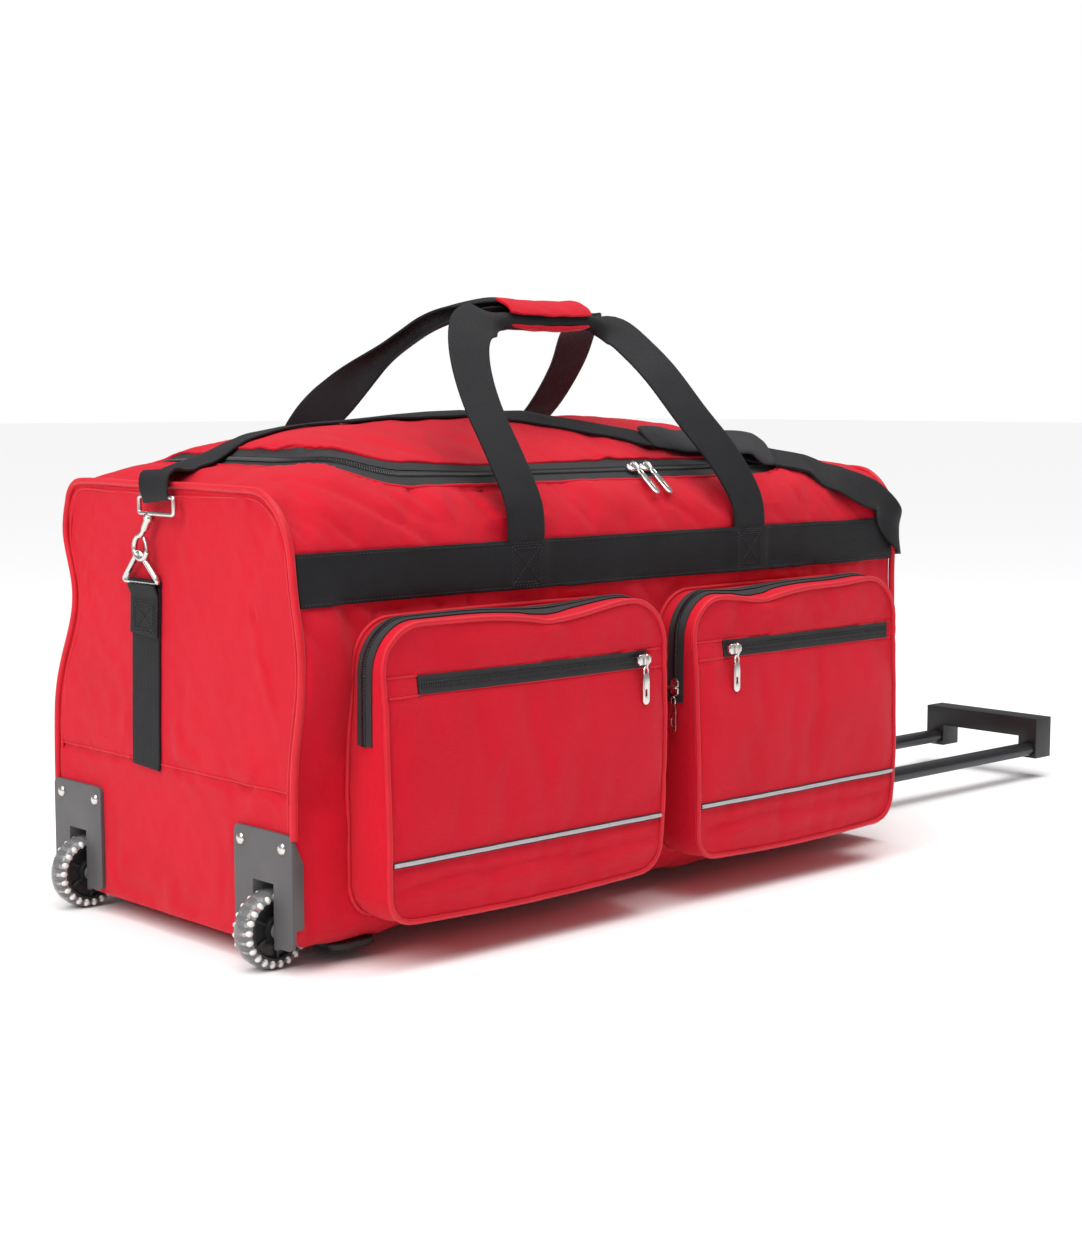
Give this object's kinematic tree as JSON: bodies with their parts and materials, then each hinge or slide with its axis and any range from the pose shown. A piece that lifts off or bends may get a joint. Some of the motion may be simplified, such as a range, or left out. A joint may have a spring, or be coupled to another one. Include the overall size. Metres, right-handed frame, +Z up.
{
  "type": "rolling duffel bag",
  "caption": "Soft rolling duffel with corner wheels, pull-out trolley, zip-open lid, outside pockets, joined carry handles and a clip-on shoulder strap.",
  "frame": {"origin": "on the floor under the middle of the bag's body, at the floor_rest mount", "axes": "+X from the wheels to the trolley grip, -Y to the side with the two pockets, +Z up"},
  "size_m": [1.1735, 0.4021, 0.5275],
  "materials": {
    "red_polyester": "woven polyester with a coated back, slight sheen",
    "red_piping": "corded piping covered in the bag's polyester",
    "black_webbing": "ribbed polypropylene webbing, 40 mm",
    "zip_tape": "woven zip tape with a coil chain",
    "reflective_tape": "grey reflective piping",
    "pad_cloth": "padded sleeve of dark grey cloth",
    "housing_plastic": "moulded polypropylene, fine grain",
    "black_plastic": "moulded polypropylene",
    "base_board": "stiff polyethylene sheet",
    "nickel": "nickel-plated zinc and steel, satin",
    "axle_steel": "plain steel pin",
    "tube_metal": "dark anodised tube, semi-matt",
    "guide_metal": "plain extruded tube",
    "tyre_pu": "clear polyurethane over a dark ribbed core",
    "bush_plastic": "white acetal"
  },
  "bodies": {
    "bag": {"front_panel": "red_polyester", "rear_panel": "red_polyester", "base_panel": "red_polyester", "wheel_end_panel": "red_polyester", "handle_end_panel": "red_polyester", "top_yoke": "red_polyester", "base_board": "base_board", "end_piping": "red_piping", "webbing_bands": "black_webbing", "main_zip": "zip_tape", "left_pocket": "red_polyester", "right_pocket": "red_polyester", "pocket_piping": "red_piping", "pocket_side_zips": "zip_tape", "pocket_face_zips": "zip_tape", "reflective_piping": "reflective_tape", "front_wheel_housing": "housing_plastic", "rear_wheel_housing": "housing_plastic", "housing_rivets": "nickel", "corner_skids": "black_plastic", "base_feet": "black_plastic", "end_straps": "black_webbing", "strap_triangles": "nickel", "wheel_end_hook": "nickel", "handle_end_hook": "nickel", "trolley_guide_tubes": "guide_metal", "trolley_bezel": "black_plastic", "shoulder_strap_wheel_end": "black_webbing", "shoulder_strap_handle_end": "black_webbing", "wheel_axles": "axle_steel"},
    "front_wheel": {"front_wheel_core": "black_plastic", "front_wheel_tyre": "tyre_pu", "front_wheel_bushes": "bush_plastic"},
    "rear_wheel": {"rear_wheel_core": "black_plastic", "rear_wheel_tyre": "tyre_pu", "rear_wheel_bushes": "bush_plastic"},
    "trolley": {"trolley_tubes": "tube_metal", "trolley_grip": "black_plastic", "tube_stops": "black_plastic"},
    "lid": {"lid_panel": "red_polyester", "lid_zip_tape": "zip_tape", "shoulder_strap_middle": "black_webbing", "shoulder_pad": "pad_cloth"},
    "front_carry_handle": {"front_handle": "black_webbing"},
    "rear_carry_handle": {"rear_handle": "black_webbing", "handle_wrap": "red_polyester"},
    "wheel_end_hook_gate": {"wheel_end_gate": "nickel"},
    "handle_end_hook_gate": {"handle_end_gate": "nickel"},
    "main_slider_left_body": {"main_slider_left": "nickel"},
    "main_slider_right_body": {"main_slider_right": "nickel"},
    "left_face_slider_body": {"left_face_slider": "nickel"},
    "right_face_slider_body": {"right_face_slider": "nickel"},
    "left_side_slider_body": {"left_side_slider": "nickel"},
    "right_side_slider_body": {"right_side_slider": "nickel"},
    "main_pull_left_body": {"main_pull_left": "nickel"},
    "main_pull_right_body": {"main_pull_right": "nickel"},
    "left_face_pull_body": {"left_face_pull": "nickel"},
    "right_face_pull_body": {"right_face_pull": "nickel"},
    "left_side_pull_body": {"left_side_pull": "nickel"},
    "right_side_pull_body": {"right_side_pull": "nickel"}
  },
  "joints": [
    {"name": "front_wheel_spin", "type": "hinge", "parent": "bag", "child": "front_wheel", "pos_m": [-0.3565, -0.136, 0.031], "axis": [0, 1, 0], "continuous": true},
    {"name": "rear_wheel_spin", "type": "hinge", "parent": "bag", "child": "rear_wheel", "pos_m": [-0.3565, 0.136, 0.031], "axis": [0, 1, 0], "continuous": true},
    {"name": "trolley_slide", "type": "slide", "parent": "bag", "child": "trolley", "axis": [1, 0, 0], "range_m": [-0.365, 0]},
    {"name": "lid_hinge", "type": "hinge", "parent": "bag", "child": "lid", "pos_m": [0, 0.115, 0.383], "axis": [-1, 0, 0], "range_deg": [0, 110]},
    {"name": "front_handle_swing", "type": "hinge", "parent": "bag", "child": "front_carry_handle", "pos_m": [0.0105, -0.1775, 0.3225], "axis": [1, 0, 0], "range_deg": [0, 150]},
    {"name": "rear_handle_swing", "type": "hinge", "parent": "bag", "child": "rear_carry_handle", "pos_m": [0.0105, 0.1775, 0.3225], "axis": [-1, 0, 0], "range_deg": [0, 150]},
    {"name": "wheel_end_gate_hinge", "type": "hinge", "parent": "bag", "child": "wheel_end_hook_gate", "pos_m": [-0.369, 0.0085, 0.3224], "axis": [1, 0, 0], "range_deg": [0, 20], "stiffness_Nm_per_rad": 0.02},
    {"name": "handle_end_gate_hinge", "type": "hinge", "parent": "bag", "child": "handle_end_hook_gate", "pos_m": [0.369, 0.0085, 0.3224], "axis": [1, 0, 0], "range_deg": [0, 20], "stiffness_Nm_per_rad": 0.02},
    {"name": "main_slider_left_run", "type": "slide", "parent": "bag", "child": "main_slider_left_body", "axis": [-1, 0, 0], "range_m": [0, 0.24]},
    {"name": "main_slider_right_run", "type": "slide", "parent": "bag", "child": "main_slider_right_body", "axis": [1, 0, 0], "range_m": [0, 0.14]},
    {"name": "left_face_slider_run", "type": "slide", "parent": "bag", "child": "left_face_slider_body", "axis": [-1, 0, 0], "range_m": [0, 0.225]},
    {"name": "right_face_slider_run", "type": "slide", "parent": "bag", "child": "right_face_slider_body", "axis": [1, 0, 0], "range_m": [0, 0.205]},
    {"name": "left_side_slider_run", "type": "slide", "parent": "bag", "child": "left_side_slider_body", "axis": [0, 0, 1], "range_m": [0, 0.035]},
    {"name": "right_side_slider_run", "type": "slide", "parent": "bag", "child": "right_side_slider_body", "axis": [0, 0, 1], "range_m": [0, 0.035]},
    {"name": "main_pull_left_swing", "type": "hinge", "parent": "main_slider_left_body", "child": "main_pull_left_body", "pos_m": [0.042, -0.13821, 0.37356], "axis": [-1, 0, 0], "range_deg": [0, 110]},
    {"name": "main_pull_right_swing", "type": "hinge", "parent": "main_slider_right_body", "child": "main_pull_right_body", "pos_m": [0.058, -0.13821, 0.37356], "axis": [-1, 0, 0], "range_deg": [0, 110]},
    {"name": "left_face_pull_swing", "type": "hinge", "parent": "left_face_slider_body", "child": "left_face_pull_body", "pos_m": [-0.036, -0.2242, 0.2131], "axis": [-1, 0, 0], "range_deg": [0, 110]},
    {"name": "right_face_pull_swing", "type": "hinge", "parent": "right_face_slider_body", "child": "right_face_pull_body", "pos_m": [0.077, -0.2242, 0.2131], "axis": [-1, 0, 0], "range_deg": [0, 110]},
    {"name": "left_side_pull_swing", "type": "hinge", "parent": "left_side_slider_body", "child": "left_side_pull_body", "pos_m": [-0.0016, -0.197, 0.179], "axis": [0, -1, 0], "range_deg": [0, 22]},
    {"name": "right_side_pull_swing", "type": "hinge", "parent": "right_side_slider_body", "child": "right_side_pull_body", "pos_m": [0.0256, -0.197, 0.179], "axis": [0, 1, 0], "range_deg": [0, 22]}
  ],
  "couplings": [
    {"joint": "front_handle_swing", "follows": "lid_hinge", "ratio": 1.36},
    {"joint": "rear_handle_swing", "follows": "lid_hinge", "ratio": 1.36}
  ]
}
